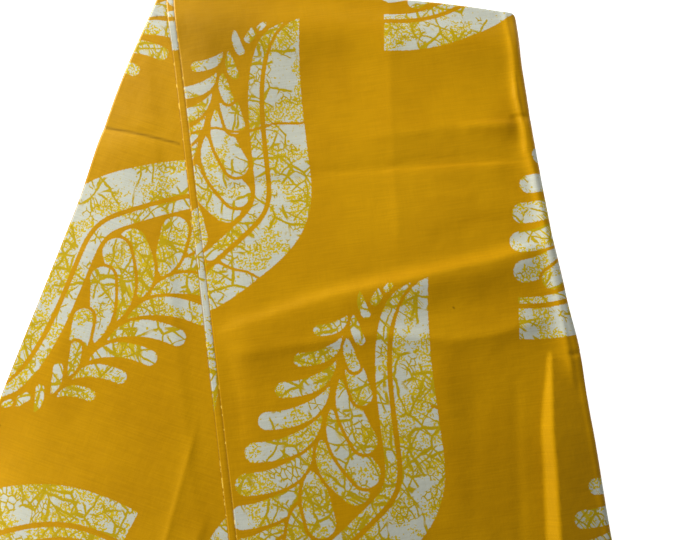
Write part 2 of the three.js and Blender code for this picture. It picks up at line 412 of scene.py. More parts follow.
@dataclass(frozen=True)
class LeafMotif:
    """A half leaf: a broad outer band, a thin inner one, and petals off both sides of a stem.

    Its own places are to the right and down from the tip, in metres. Each turn of its edge is in
    degrees, with where it starts and how long it takes. Each wane is a share of a band's width,
    with the same. A side of the stem is its place at the tip and its slope. Ends, roots and runs
    are how far down, or along the edge, the first petal or drop is, the step to the next, and
    the growth of that step. Half widths are the least, and what is added to it.
    """

    edge_length: float = 0.714
    edge_step: float = 0.014
    first_heading: float = 9.0
    turns: Triples = ((-8.0, 0.0, 0.20), (57.0, 0.25, 0.20), (42.0, 0.44, 0.30))
    band_width: float = 0.064
    band_growth: float = 0.045
    band_wane: Triple = (0.26, 0.40, 0.30)
    line_width: float = 0.008
    inner_width: float = 0.018
    inner_growth: float = 0.05
    inner_wane: Triple = (0.45, 0.50, 0.20)
    inner_start: float = 0.010
    petals: int = 8
    petal_reach: Pair = (0.184, 0.161)
    petal_ends: Triple = (0.060, 0.040, 0.0006)
    petal_roots: Triple = (0.040, 0.030, 0.0014)
    petal_half: Pair = (0.0088, 0.0015)
    widest_petal: float = 0.0175
    petal_leaving: Pair = (-0.47, 0.88)
    petal_steps: int = 11
    outer_stem: Pair = (-0.111, -0.537)
    inner_stem: Pair = (-0.092, -0.486)
    drops: int = 7
    drop_roots: Pair = (0.090, 0.0435)
    drop_runs: Pair = (0.170, 0.066)
    drop_later: float = 0.075
    drop_half: Pair = (0.0135, 0.009)
    drop_leaving: Pair = (-0.05, 1.0)
    drop_gap: float = 0.007
    tip_drops: int = 3
    tip_runs: Pair = (0.002, 0.037)
    tip_half: Pair = (0.0068, 0.001)
    tip_leaving: Pair = (-0.2, 0.98)
    reach: tuple[float, float, float, float] = (-0.42, 0.06, -0.05, 0.56)

    def edge(self) -> Array:
        """Draw the outer edge, down from the tip and round to the blunt end."""
        run = np.arange(0.0, self.edge_length, self.edge_step) + self.edge_step / 2
        degrees = self.first_heading
        for turn, start, length in self.turns:
            degrees = degrees + turn * ease((run - start) / length)
        return grow((0.0, 0.0), np.radians(degrees), self.edge_step)

    def inward(self, line: Array) -> Array:
        """Say which way is in from the outer edge at each of its points."""
        steps = np.gradient(line, axis=0)
        steps /= np.linalg.norm(steps, axis=1)[:, None]
        return np.stack([-steps[:, 1], steps[:, 0]], axis=1)

    def petal(
        self,
        root: Pair | Array,
        end: Pair | Array,
        leaving: Pair,
        half: float,
        point: float = 0.62,
        bend: float = 0.5,
    ) -> Stroke:
        """Draw a petal, pointed at its root and round at its end.

        Args:
            root: where it starts.
            end: the middle of its round end.
            leaving: the direction in which it leaves its root.
            half: half its greatest width.
            point: the share of its length over which it widens.
            bend: how far along it the leaving direction pulls.

        Returns:
            The petal as a stroke.
        """
        root, end = np.array(root), np.array(end)
        share = np.linspace(0.0, 1.0, self.petal_steps + 1)[:, None]
        pull = root + np.array(leaving) * np.linalg.norm(end - root) * bend
        line = (1 - share) ** 2 * root + 2 * share * (1 - share) * pull + share**2 * end
        widening = np.sin(np.clip(share[:, 0] / point, 0.0, 1.0) * math.pi / 2)
        return Stroke(line, half * widening)

    def strokes(self) -> list[Stroke]:
        """Draw the motif's strokes."""
        edge = self.edge()
        inward = self.inward(edge)
        run = np.arange(len(edge)) * self.edge_step
        (band_loss, band_from, band_run), (loss, start, length) = self.band_wane, self.inner_wane
        band = self.band_width * (1 - np.exp(-run / self.band_growth))
        band = band * (1 - band_loss * ease((run - band_from) / band_run))
        inner = self.inner_width * ease((run + self.line_width) / self.inner_growth)
        inner = inner * (1 - loss * ease((run - start) / length))
        middle = edge + inward * (band + self.line_width + inner / 2)[:, None]
        limit = edge + inward * (band + self.line_width + inner)[:, None]
        begun = run >= self.inner_start
        strokes = [self.outer_petal(k) for k in reversed(range(self.petals))]
        strokes += [self.inner_drop(k, limit) for k in reversed(range(self.drops))]
        strokes += [self.tip_drop(k) for k in range(self.tip_drops)]
        return strokes + [
            self.petal((-0.078, 0.006), (-0.088, 0.026), (0.0, 1.0), 0.007),
            self.petal((-0.055, 0.002), (-0.067, 0.010), (-0.9, 0.4), 0.005),
            Stroke(middle[begun], (inner / 2)[begun], flat_end=True),
            Stroke(edge + inward * (band / 2)[:, None], band / 2, flat_end=True),
        ]

    def outer_petal(self, k: int) -> Stroke:
        """Draw the k-th petal on the outer side of the stem, away from the bands."""
        least, more = self.petal_reach
        aside = -least - more * math.sin(k * math.pi / 14)
        end = np.array([aside, stepped(self.petal_ends, k)])
        down = stepped(self.petal_roots, k)
        root = np.array([stepped(self.outer_stem, down) + 0.0045 * k, down])
        half = min(stepped(self.petal_half, k), self.widest_petal)
        end -= (end - root) / np.linalg.norm(end - root) * half * 0.6
        return self.petal(root, end, self.petal_leaving, half)

    def inner_drop(self, k: int, limit: Array) -> Stroke:
        """Draw the k-th drop on the side of the stem that faces the bands.

        Args:
            k: the drop's number, from the tip.
            limit: the inner edge of the inner band, which the drop stops short of.

        Returns:
            The drop as a stroke.
        """
        down = stepped(self.drop_roots, k)
        root = np.array([stepped(self.inner_stem, down), down])
        run = stepped(self.drop_runs, k) + self.drop_later * float(ease((k - 2) / 1.5))
        before = int(run / self.edge_step)
        nearest = lerp(limit[before], limit[before + 1], run / self.edge_step - before)
        half = stepped(self.drop_half, math.sin(math.pi * (k + 0.5) / self.drops))
        end = nearest + self.inward(limit)[before] * (self.drop_gap + half)
        return self.petal(root, end, self.drop_leaving, half, 0.7, 0.4)

    def tip_drop(self, k: int) -> Stroke:
        """Draw the k-th slim drop near the tip, where the stem comes close to the bands."""
        run = stepped(self.tip_runs, k)
        root = np.array([-0.107 - 0.40 * run, 0.004 + 0.918 * run])
        end = root + np.array([0.004, 0.038 + 0.004 * k])
        return self.petal(root, end, self.tip_leaving, stepped(self.tip_half, k))


@dataclass(frozen=True)
class LeafPrint:
    """Leaves over one layer, by the across, along and turn in degrees of each tip.

    Breaks are long cracks in the wax, in millimetres.
    """

    tips: Triples
    motif: LeafMotif = LeafMotif()
    breaks: tuple[Table, ...] = ()
    break_half: float = 0.0022
    outline: float = 0.0052
    most: float = 0.02

    def depth(self, across: Array, along: Array) -> Array:
        """Say how deep inside the print each place is, in metres, below zero outside."""
        places = np.stack([across.ravel(), along.ravel()], axis=1)
        best = np.full(len(places), -self.most)
        strokes = self.motif.strokes()
        left, right, top, bottom = self.motif.reach
        for tip_across, tip_along, degrees in self.tips:
            turn = math.radians(degrees)
            spin = np.array([[math.cos(turn), -math.sin(turn)], [math.sin(turn), math.cos(turn)]])
            own = (places - np.array([tip_across, tip_along])) @ spin
            near = (own[:, 0] > left) & (own[:, 0] < right)
            near &= (own[:, 1] > top) & (own[:, 1] < bottom)
            if not near.any():
                continue
            laid = best[near]
            for stroke in strokes:
                depth = stroke.depth(own[near])
                laid = np.maximum(np.minimum(laid, -depth - self.outline), depth)
            best[near] = laid
        for line in self.breaks:
            points = np.array(line) * MM
            crack = Stroke(points, np.full(len(points), self.break_half))
            best = np.minimum(best, -crack.depth(places))
        return np.clip(best, -self.most, self.most).reshape(across.shape)


@dataclass(frozen=True)
class SoftMark:
    """A soft mark, in millimetres, for stains, painted shade and wax wear: its place, radius and
    strength, and where a long one ends.
    """

    across: float
    along: float
    radius: float
    strength: float
    end: Pair | None = None

    def amount(self, across: Array, along: Array) -> Array:
        """Say how strong the mark is at each place."""
        start = np.array([self.across, self.along]) * MM
        end = start if self.end is None else np.array(self.end) * MM
        away, _, _ = against_line(across, along, start, end)
        return self.strength * np.exp(-((away / (self.radius * MM)) ** 2))


def strongest(spots: tuple[SoftMark, ...], across: Array, along: Array) -> Array:
    """Say how strong the strongest of some marks is at each place."""
    amounts = [spot.amount(across, along) for spot in spots]
    return np.maximum.reduce([np.zeros_like(across), *amounts])


@dataclass
class ClothLayer:
    """One layer of the folded cloth, as a thin closed shell."""

    layer: Layer
    lie: ClothLie
    stretch: Stretch
    left: Edge
    right: Edge
    top: Callable[[Array, Array], Array]
    prints: LeafPrint
    spacing: float
    turned: bool = False
    rolled: bool = False
    inset: float = 0.0
    edge_spacing: float | None = None
    edge_width: float = 0.024
    # dark marks: real stains and painted shade lines and patches
    stains: tuple[SoftMark, ...] = ()
    worn: tuple[SoftMark, ...] = ()
    thickness: float = 0.0008
    roll_steps: int = 12
    cut_wave: float = 0.0012
    cut_waves: Triple = (61.0, 17.0, 40.0)
    cut_wave_fade: int = 8
    roll_run: float = 0.026
    pattern_shift: float = 0.0
    cut_width: float = 0.585

    @property
    def flat(self) -> Pair:
        """The layer's width and length when it is spread out, in metres."""
        return (self.cut_width, self.stretch.length)

    def column_places(self) -> tuple[Array, Array]:
        """Place the columns.

        Returns:
            Their shares of the width, and their shares of the way round the roll.
        """
        width = float(self.right(np.array(0.5)) - self.left(np.array(0.5)))
        if self.edge_spacing:
            edge_count = 2 * round(self.edge_width / self.edge_spacing / 2)
            edge_share = self.edge_width / width
            count = 2 * math.ceil((width - self.edge_width) / self.spacing / 2)
            edge = np.linspace(0.0, edge_share, edge_count + 1)[:-1]
            shares = np.concatenate([edge, np.linspace(edge_share, 1.0, count + 1)])
        else:
            shares = np.linspace(0.0, 1.0, 2 * math.ceil(width / self.spacing / 2) + 1)
        steps = np.zeros_like(shares)
        if self.rolled:
            round_it = np.arange(1, self.roll_steps + 1) / self.roll_steps
            shares = np.concatenate([shares, np.ones(self.roll_steps)])
            steps = np.concatenate([steps, round_it])
        return shares, steps

    def row_places(self) -> tuple[Array, Array]:
        """Place the rows, from the lowest of the turned edge to the cut end.

        Returns:
            Their shares of the length, and their shares of the way round the turn.
        """
        spacing = self.edge_spacing or self.spacing
        shares = np.linspace(0.0, 1.0, 2 * math.ceil(self.stretch.length / spacing / 2) + 1)
        steps = np.zeros_like(shares)
        if self.turned:
            round_it = np.arange(self.roll_steps, 0, -1) / self.roll_steps
            shares = np.concatenate([np.zeros(self.roll_steps), shares])
            steps = np.concatenate([round_it, steps])
        return shares, steps

    def cloth_grid(self) -> tuple[Array, Array, Array, Array]:
        """Lay out the grid of the layer.

        Returns:
            Across and along places, then the shares of the way round the roll and the turn.
        """
        column_share, column_step = self.column_places()
        row_share, row_step = self.row_places()
        zero = np.zeros_like(column_share)
        rough = lerp(self.left(zero), self.right(zero), column_share)
        reach = 0.0 if self.turned else self.lie.seam_reach
        start = self.lie.turn_line(self.stretch, rough) - reach
        along = lerp(start[None, :], self.stretch.length, row_share[:, None])
        across = lerp(self.left(along), self.right(along), column_share[None, :])
        fine, slow, shift = self.cut_waves
        wave = np.sin(across * fine + self.stretch.length * shift) * np.sin(across * slow)
        along = along + self.cut_wave * wave * row_share[:, None] ** self.cut_wave_fade
        return (
            across,
            along,
            np.broadcast_to(column_step[None, :], across.shape),
            np.broadcast_to(row_step[:, None], across.shape),
        )

    def points(self, depth: float) -> Array:
        """Place the grid's points.

        Args:
            depth: how far inside the layer's outer side they are, in metres.

        Returns:
            Points in rows and columns.
        """
        across, along, column_step, row_step = self.cloth_grid()
        lie = self.lie
        plan = self.stretch.place(across, along)
        top = self.top(across, along)
        step = np.maximum(column_step, row_step)
        bearing = math.pi / 2 * row_step / np.maximum(row_step + column_step, 1e-9)
        out = np.cos(bearing)[..., None] * self.stretch.across_dir
        out = out + np.sin(bearing)[..., None] * lie.turn_out
        out /= np.linalg.norm(out, axis=-1)[..., None]
        angle = lie.roll_sweep * step
        drop = (top + self.inset) / (1 - math.cos(lie.roll_sweep))
        facing = np.stack([drop * np.sin(angle), lie.roll_depth * np.cos(angle)], axis=-1)
        facing /= np.linalg.norm(facing, axis=-1)[..., None]
        outward = lie.roll_depth * np.sin(angle) - facing[..., 0] * (self.inset + depth)
        height = drop * (np.cos(angle) - math.cos(lie.roll_sweep))
        height = height - facing[..., 1] * (self.inset + depth)
        rolled = step > 0
        plan = plan + np.where(rolled, outward, 0.0)[..., None] * out
        height = np.where(rolled, np.maximum(height, 0.0), top - depth)
        return np.concatenate([plan, height[..., None]], axis=-1)

    def shell(self) -> tuple[Array, list[tuple[int, ...]]]:
        """Join the outer side to an inner side that is half as fine.

        Returns:
            The points and the faces.
        """
        outer = self.points(0.0)
        inner = self.points(self.thickness)[::2, ::2]
        count = outer[..., 0].size
        outer_index = np.arange(count).reshape(outer.shape[:2])
        inner_index = count + np.arange(inner[..., 0].size).reshape(inner.shape[:2])
        faces = self.grid_faces(outer_index) + self.grid_faces(inner_index[:, ::-1])
        rims = (
            (outer_index[:, 0], inner_index[:, 0]),
            (outer_index[-1], inner_index[-1]),
            (outer_index[::-1, -1], inner_index[::-1, -1]),
            (outer_index[0, ::-1], inner_index[0, ::-1]),
        )
        for fine, coarse in rims:
            before, middle, after = fine[:-2:2], fine[1::2], fine[2::2]
            near, far = coarse[:-1], coarse[1:]
            faces += self.faces_of(before, near, middle) + self.faces_of(middle, near, far)
            faces += self.faces_of(middle, far, after)
        return np.concatenate([outer.reshape(-1, 3), inner.reshape(-1, 3)]), faces

    def faces_of(self, *corners: Array) -> list[tuple[int, ...]]:
        """List faces from the point numbers of their first corners, second corners and so on."""
        return list(zip(*(corner.ravel().tolist() for corner in corners)))

    def grid_faces(self, index: Array) -> list[tuple[int, ...]]:
        """List the four-sided faces of a grid of point numbers."""
        return self.faces_of(index[:-1, :-1], index[1:, :-1], index[1:, 1:], index[:-1, 1:])

    def marks(self) -> dict[Mark, Array]:
        """Work out what each point of the outer side carries for its finish."""
        across, along, column_step, row_step = self.cloth_grid()
        across = across + column_step * self.roll_run
        along = along - row_step * self.roll_run
        shifted = (across + self.pattern_shift, along, np.zeros_like(across))
        return {
            Mark.CLOTH: np.stack(shifted, axis=-1),
            Mark.PRINT: self.prints.depth(across, along),
            Mark.SELVEDGE: across - self.left(along),
            Mark.STAIN_AND_SHADE: strongest(self.stains, across, along),
            Mark.WEAR: strongest(self.worn, across, along),
        }

    def build(self) -> bpy.types.Object:
        points, faces = self.shell()
        mesh = bpy.data.meshes.new(self.layer.value + "_cloth")
        mesh.from_pydata(points.tolist(), [], faces)
        for mark, outer in self.marks().items():
            kind, field_name = ("FLOAT_VECTOR", "vector") if outer.ndim > 2 else ("FLOAT", "value")
            values = np.concatenate([outer.ravel(), outer[::2, ::2].ravel()])
            mesh.attributes.new(mark.value, kind, "POINT").data.foreach_set(field_name, values)
        mesh.shade_smooth()
        mesh.update()
        piece = add_object(self.layer.value + "_cloth", mesh)
        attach(piece, "root")
        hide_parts(self.layer.value)
        LOG.info("%s: %d points, %d faces", piece.name, len(points), len(faces))
        return piece


class Signal:
    """A shader socket whose arithmetic adds nodes to its graph."""

    def __init__(self, graph: "Graph", socket: bpy.types.NodeSocket) -> None:
        """Wrap a socket."""
        self.graph = graph
        self.socket = socket

    def __add__(self, other: "Signal | float") -> "Signal":
        """Add."""
        return self.graph.maths("ADD", self, other)

    def __radd__(self, other: float) -> "Signal":
        """Add to a number."""
        return self.graph.maths("ADD", other, self)

    def __sub__(self, other: "Signal | float") -> "Signal":
        """Take away."""
        return self.graph.maths("SUBTRACT", self, other)

    def __rsub__(self, other: float) -> "Signal":
        """Take away from a number."""
        return self.graph.maths("SUBTRACT", other, self)

    def __mul__(self, other: "Signal | float") -> "Signal":
        """Multiply."""
        return self.graph.maths("MULTIPLY", self, other)

    def __rmul__(self, other: float) -> "Signal":
        """Multiply a number."""
        return self.graph.maths("MULTIPLY", other, self)

    def most(self, other: "Signal | float") -> "Signal":
        """Take the larger."""
        return self.graph.maths("MAXIMUM", self, other)

    def rise(self, low: "Signal | float", high: "Signal | float") -> "Signal":
        """Ease from 0 to 1 as the value goes from low to high."""
        settings = {"interpolation_type": "SMOOTHSTEP"}
        return self.graph.node(
            "ShaderNodeMapRange", settings, {"Value": self, "From Min": low, "From Max": high}
        )


class Graph:
    """A material's nodes, added by plain expressions."""

    def __init__(self, name: str) -> None:
        """Make a material with an empty node tree."""
        self.material = bpy.data.materials.new(name)
        self.material.use_nodes = True
        self.tree = self.material.node_tree
        self.tree.nodes.clear()

    def node(
        self,
        kind: str,
        settings: Mapping[str, object],
        inputs: Mapping[str | int, "Signal | float | tuple"],
        output: str | int = 0,
    ) -> Signal:
        """Add a node.

        Args:
            kind: the node's type.
            settings: its settings, which are made first.
            inputs: values or signals for its sockets, by name or number.
            output: the socket that the result stands for.

        Returns:
            The signal of that output.
        """
        made = self.tree.nodes.new(kind)
        for name, value in settings.items():
            setattr(made, name, value)
        for name, value in inputs.items():
            if isinstance(value, Signal):
                self.tree.links.new(value.socket, made.inputs[name])
            else:
                made.inputs[name].default_value = value
        return Signal(self, made.outputs[output])

    def maths(self, operation: str, a: "Signal | float", b: "Signal | float") -> Signal:
        """Add a Math node."""
        return self.node("ShaderNodeMath", {"operation": operation}, {0: a, 1: b})

    def mix(self, share: "Signal | float", a: "Signal | Colour", b: "Signal | Colour") -> Signal:
        """Mix two colours."""
        return self.node("ShaderNodeMix", {"data_type": "RGBA"}, {0: share, 6: a, 7: b}, 2)

    def scaled(self, vector: Signal, scale: Triple) -> Signal:
        """Multiply a vector by a scale on each axis."""
        return self.node("ShaderNodeVectorMath", {"operation": "MULTIPLY"}, {0: vector, 1: scale})

    def turned(self, vector: Signal, angle: float) -> Signal:
        """Turn a place within the cloth, by an angle in radians."""
        inputs = {"Vector": vector, "Angle": angle}
        return self.node("ShaderNodeVectorRotate", {"rotation_type": "Z_AXIS"}, inputs)

    def tinted(self, colour: Signal, factor: Signal) -> Signal:
        """Multiply a colour by a factor."""
        return self.node("ShaderNodeVectorMath", {"operation": "SCALE"}, {0: colour, 3: factor})

    def attribute(self, mark: Mark) -> Signal:
        """Read a value that the cloth's points carry."""
        output = "Vector" if mark is Mark.CLOTH else "Fac"
        return self.node("ShaderNodeAttribute", {"attribute_name": mark.value}, {}, output)

    def noise(self, place: Signal, scale: float, detail: float, distortion: float = 0.0) -> Signal:
        """Add a noise, from 0 to 1, at a scale in blobs per metre."""
        inputs = {"Vector": place, "Scale": scale, "Detail": detail, "Distortion": distortion}
        return self.node("ShaderNodeTexNoise", {}, inputs)

    def ragged(self, place: Signal, scale: float, width: float) -> Signal:
        """Add a noise about 0, of a whole width, that makes an edge or a value ragged."""
        return (self.noise(place, scale, 2.0) - 0.5) * width

    def surfaced(self, inputs: Mapping[str | int, "Signal | float | tuple"]) -> bpy.types.Material:
        """Add the shader of the surface and return the finished material."""
        shader = self.node("ShaderNodeBsdfPrincipled", {}, inputs)
        output = self.tree.nodes.new("ShaderNodeOutputMaterial")
        self.tree.links.new(shader.socket, output.inputs["Surface"])
        return self.material


@dataclass(frozen=True)
class Patches:
    """Patches from noise: blobs per metre, detail, and where they set in and are full."""

    scale: float
    detail: float
    low: float
    high: float

    def mask(self, graph: Graph, place: Signal, more: Signal | None = None) -> Signal:
        """Draw the patches, from 0 to 1, with more of them where something is added."""
        noise = graph.noise(place, self.scale, self.detail)
        return (noise if more is None else noise + more).rise(self.low, self.high)


@dataclass(frozen=True)
class CrackNet:
    """A net of cracks in the wax: its angle, the size and stretch of its cells, and its lines."""

    angle: float
    spacing: float
    stretch: float
    width: float
    threshold: float
    patchiness: float = 13.0
    fading: float = 0.015
    width_scale: float = 70.0
    least_width: float = 0.35
    ragged_scale: float = 420.0
    raggedness: float = 0.0022
    blur: float = 0.0003

    def draw(self, graph: Graph, place: Signal, worn: Signal) -> Signal:
        """Draw the net.

        Args:
            graph: the material's nodes.
            place: where on the cloth.
            worn: how much is added to the noise that says where there are cracks.

        Returns:
            How much of a crack there is, from 0 to 1.
        """
        size = (1 / self.spacing, 1 / (self.spacing * self.stretch), 1.0)
        cells = graph.scaled(graph.turned(place, self.angle), size)
        inputs = {"Vector": cells, "Scale": 1.0, "Randomness": 1.0}
        settings = {"voronoi_dimensions": "2D", "feature": "DISTANCE_TO_EDGE"}
        edge = graph.node("ShaderNodeTexVoronoi", settings, inputs)
        low, high = self.threshold - self.fading, self.threshold + self.fading
        presence = Patches(self.patchiness, 2.0, low, high).mask(graph, place, worn)
        width = (graph.noise(place, self.width_scale, 1.0) + self.least_width) * self.width
        away = edge * self.spacing + graph.ragged(place, self.ragged_scale, self.raggedness)
        return (1.0 - away.rise(width - self.blur, width + self.blur)) * presence


@dataclass(frozen=True)
class WaxPrintFinish:
    """Glazed cotton printed by wax resist, with the crackle that the cracked wax leaves."""

    ground: Colour = (0.440, 0.216, 0.0016, 1.0)
    ground_deep: Colour = (0.402, 0.193, 0.0014, 1.0)
    resist: Colour = (0.452, 0.462, 0.388, 1.0)
    vein: Colour = (0.385, 0.264, 0.0045, 1.0)
    lace: Colour = (0.470, 0.335, 0.0080, 1.0)
    # dark selvedge threads, darkened further to paint the shadow line along each layer's edge and
    # rim
    selvedge_and_edge_shade: Colour = (0.170, 0.075, 0.0010, 1.0)
    selvedge_bare: Colour = (0.560, 0.380, 0.060, 1.0)
    gloss: Colour = (1.0, 0.70, 0.03, 1.0)
    # dark colour of the stains and of the painted shade
    stain: Colour = (0.04519, 0.02122, 0.00152, 1.0)
    thread_pitch: float = 0.0022
    thread_length: float = 0.055
    weft_contrast: float = 0.32
    warp_contrast: float = 0.12
    thread_relief: float = 0.00016
    crumple_scale: float = 46.0
    crumple_relief: float = 0.0007
    bump_strength: float = 0.8
    print_ragged_scale: float = 380.0
    print_raggedness: float = 0.0030
    print_blur: float = 0.0005
    blotches: Patches = Patches(9.0, 3.0, 0.35, 0.68)
    wander: float = 0.014
    wander_scale: float = 30.0
    cracks: tuple[CrackNet, ...] = (
        CrackNet(0.2, 0.050, 1.3, 0.0020, 0.455),
        CrackNet(0.95, 0.026, 2.6, 0.0015, 0.515),
        CrackNet(-0.75, 0.030, 2.4, 0.0015, 0.525),
        CrackNet(0.45, 0.0085, 1.5, 0.0011, 0.59, 24.0),
    )
    scratch_angle: float = 0.6
    scratch_grain: Triple = (380.0, 24.0, 1.0)
    scratches: Patches = Patches(1.0, 2.0, 0.50, 0.57)
    scratch_places: Patches = Patches(13.0, 2.0, 0.57, 0.62)
    patch_scale: float = 19.0
    patch_detail: float = 5.0
    patch_distortion: float = 0.5
    lace_rise: Pair = (0.485, 0.545)
    lace_share: float = 0.21
    blot_rise: Pair = (0.48, 0.58)
    blot_share: float = 0.10
    dots: Patches = Patches(300.0, 1.0, 0.68, 0.72)
    blots: Patches = Patches(130.0, 1.0, 0.69, 0.715)
    selvedge_width: float = 0.0018
    selvedge_cover: float = 0.75
    bare_threads: Patches = Patches(95.0, 2.0, 0.56, 0.62)
    bare_places: Patches = Patches(9.0, 1.0, 0.45, 0.55)
    wear_share: float = 0.085
    roughness: float = 0.46
    roughness_scale: float = 60.0
    roughness_change: float = 0.12
    sheen: float = 0.03
    sheen_roughness: float = 0.4
    specular: float = 0.30

    def threads(self, graph: Graph, place: Signal) -> Signal:
        """Uneven threads both ways, about 1 on average."""
        fine, long = 1 / self.thread_pitch, 1 / self.thread_length
        weft = graph.noise(graph.scaled(place, (long, fine, 1.0)), 1.0, 3.0)
        warp = graph.noise(graph.scaled(place, (fine, long, 1.0)), 1.0, 3.0)
        return 1.0 + (weft - 0.5) * self.weft_contrast + (warp - 0.5) * self.warp_contrast

    def veins(self, graph: Graph, place: Signal, worn: Signal) -> Signal:
        """Draw the dyed veins within the resist, from 0 to 1."""
        inputs = {"Vector": place, "Scale": self.wander_scale, "Detail": 2.0}
        wander = graph.node("ShaderNodeTexNoise", {}, inputs, "Color")
        shift = graph.scaled(wander, (self.wander, self.wander, 0.0))
        bent = graph.node("ShaderNodeVectorMath", {"operation": "ADD"}, {0: place, 1: shift})
        total = self.cracks[0].draw(graph, bent, worn)
        for net in self.cracks[1:]:
            total = total.most(net.draw(graph, bent, worn))
        return total

    def speckle(self, graph: Graph, place: Signal, worn: Signal) -> Signal:
        """Draw dyed scratches, lace and blots within the resist, from 0 to 1."""
        grain = graph.scaled(graph.turned(place, self.scratch_angle), self.scratch_grain)
        scratches = self.scratches.mask(graph, grain) * self.scratch_places.mask(graph, place)
        patches = graph.noise(place, self.patch_scale, self.patch_detail, self.patch_distortion)
        lace = (patches + worn).rise(*self.lace_rise) * self.lace_share
        blots = (patches + worn).rise(*self.blot_rise) * self.blot_share
        lace, blots = self.dots.mask(graph, place, lace), self.blots.mask(graph, place, blots)
        return scratches.most(lace).most(blots)

    def printed(self, graph: Graph, place: Signal) -> Signal:
        """Mix the dyed ground and the waxed leaves with their cracks."""
        worn = graph.attribute(Mark.WEAR) * self.wear_share
        ragged = graph.ragged(place, self.print_ragged_scale, self.print_raggedness)
        depth = graph.attribute(Mark.PRINT) + ragged
        blotches = self.blotches.mask(graph, place)
        ground = graph.mix(blotches, self.ground, self.ground_deep)
        resist = graph.mix(self.speckle(graph, place, worn), self.resist, self.lace)
        resist = graph.mix(self.veins(graph, place, worn), resist, self.vein)
        return graph.mix(depth.rise(-self.print_blur, self.print_blur), ground, resist)

    def build(self) -> bpy.types.Material:
        """Build the material."""
        graph = Graph(SLOT)
        place = graph.attribute(Mark.CLOTH)
        threads = self.threads(graph, place)
        bare = self.bare_threads.mask(graph, place) * self.bare_places.mask(graph, place)
        # the edge line: partly the selvedge threads, partly painted shadow along the edge
        edge_threads_and_shade = graph.mix(bare, self.selvedge_and_edge_shade, self.selvedge_bare)
        from_edge = graph.attribute(Mark.SELVEDGE)
        edge = 1.0 - from_edge.rise(self.selvedge_width / 2, self.selvedge_width)
        colour = graph.mix(edge * self.selvedge_cover, self.printed(graph, place), edge_threads_and_shade)
        # mixes in the stains and the painted shade
        colour = graph.mix(graph.attribute(Mark.STAIN_AND_SHADE), colour, self.stain)
        crumple = graph.noise(place, self.crumple_scale, 3.0)
        height = threads * self.thread_relief + crumple * self.crumple_relief
        relief = {"Strength": self.bump_strength, "Distance": 1.0, "Height": height}
        rough = graph.ragged(place, self.roughness_scale, self.roughness_change)
        surface = {
            "Base Color": graph.tinted(colour, threads),
            "Roughness": self.roughness + rough,
            "Normal": graph.node("ShaderNodeBump", {}, relief),
            "Specular IOR Level": self.specular,
            "Specular Tint": self.gloss,
            "Sheen Tint": self.gloss,
            "Sheen Weight": self.sheen,
            "Sheen Roughness": self.sheen_roughness,
        }
        return graph.surfaced(surface)


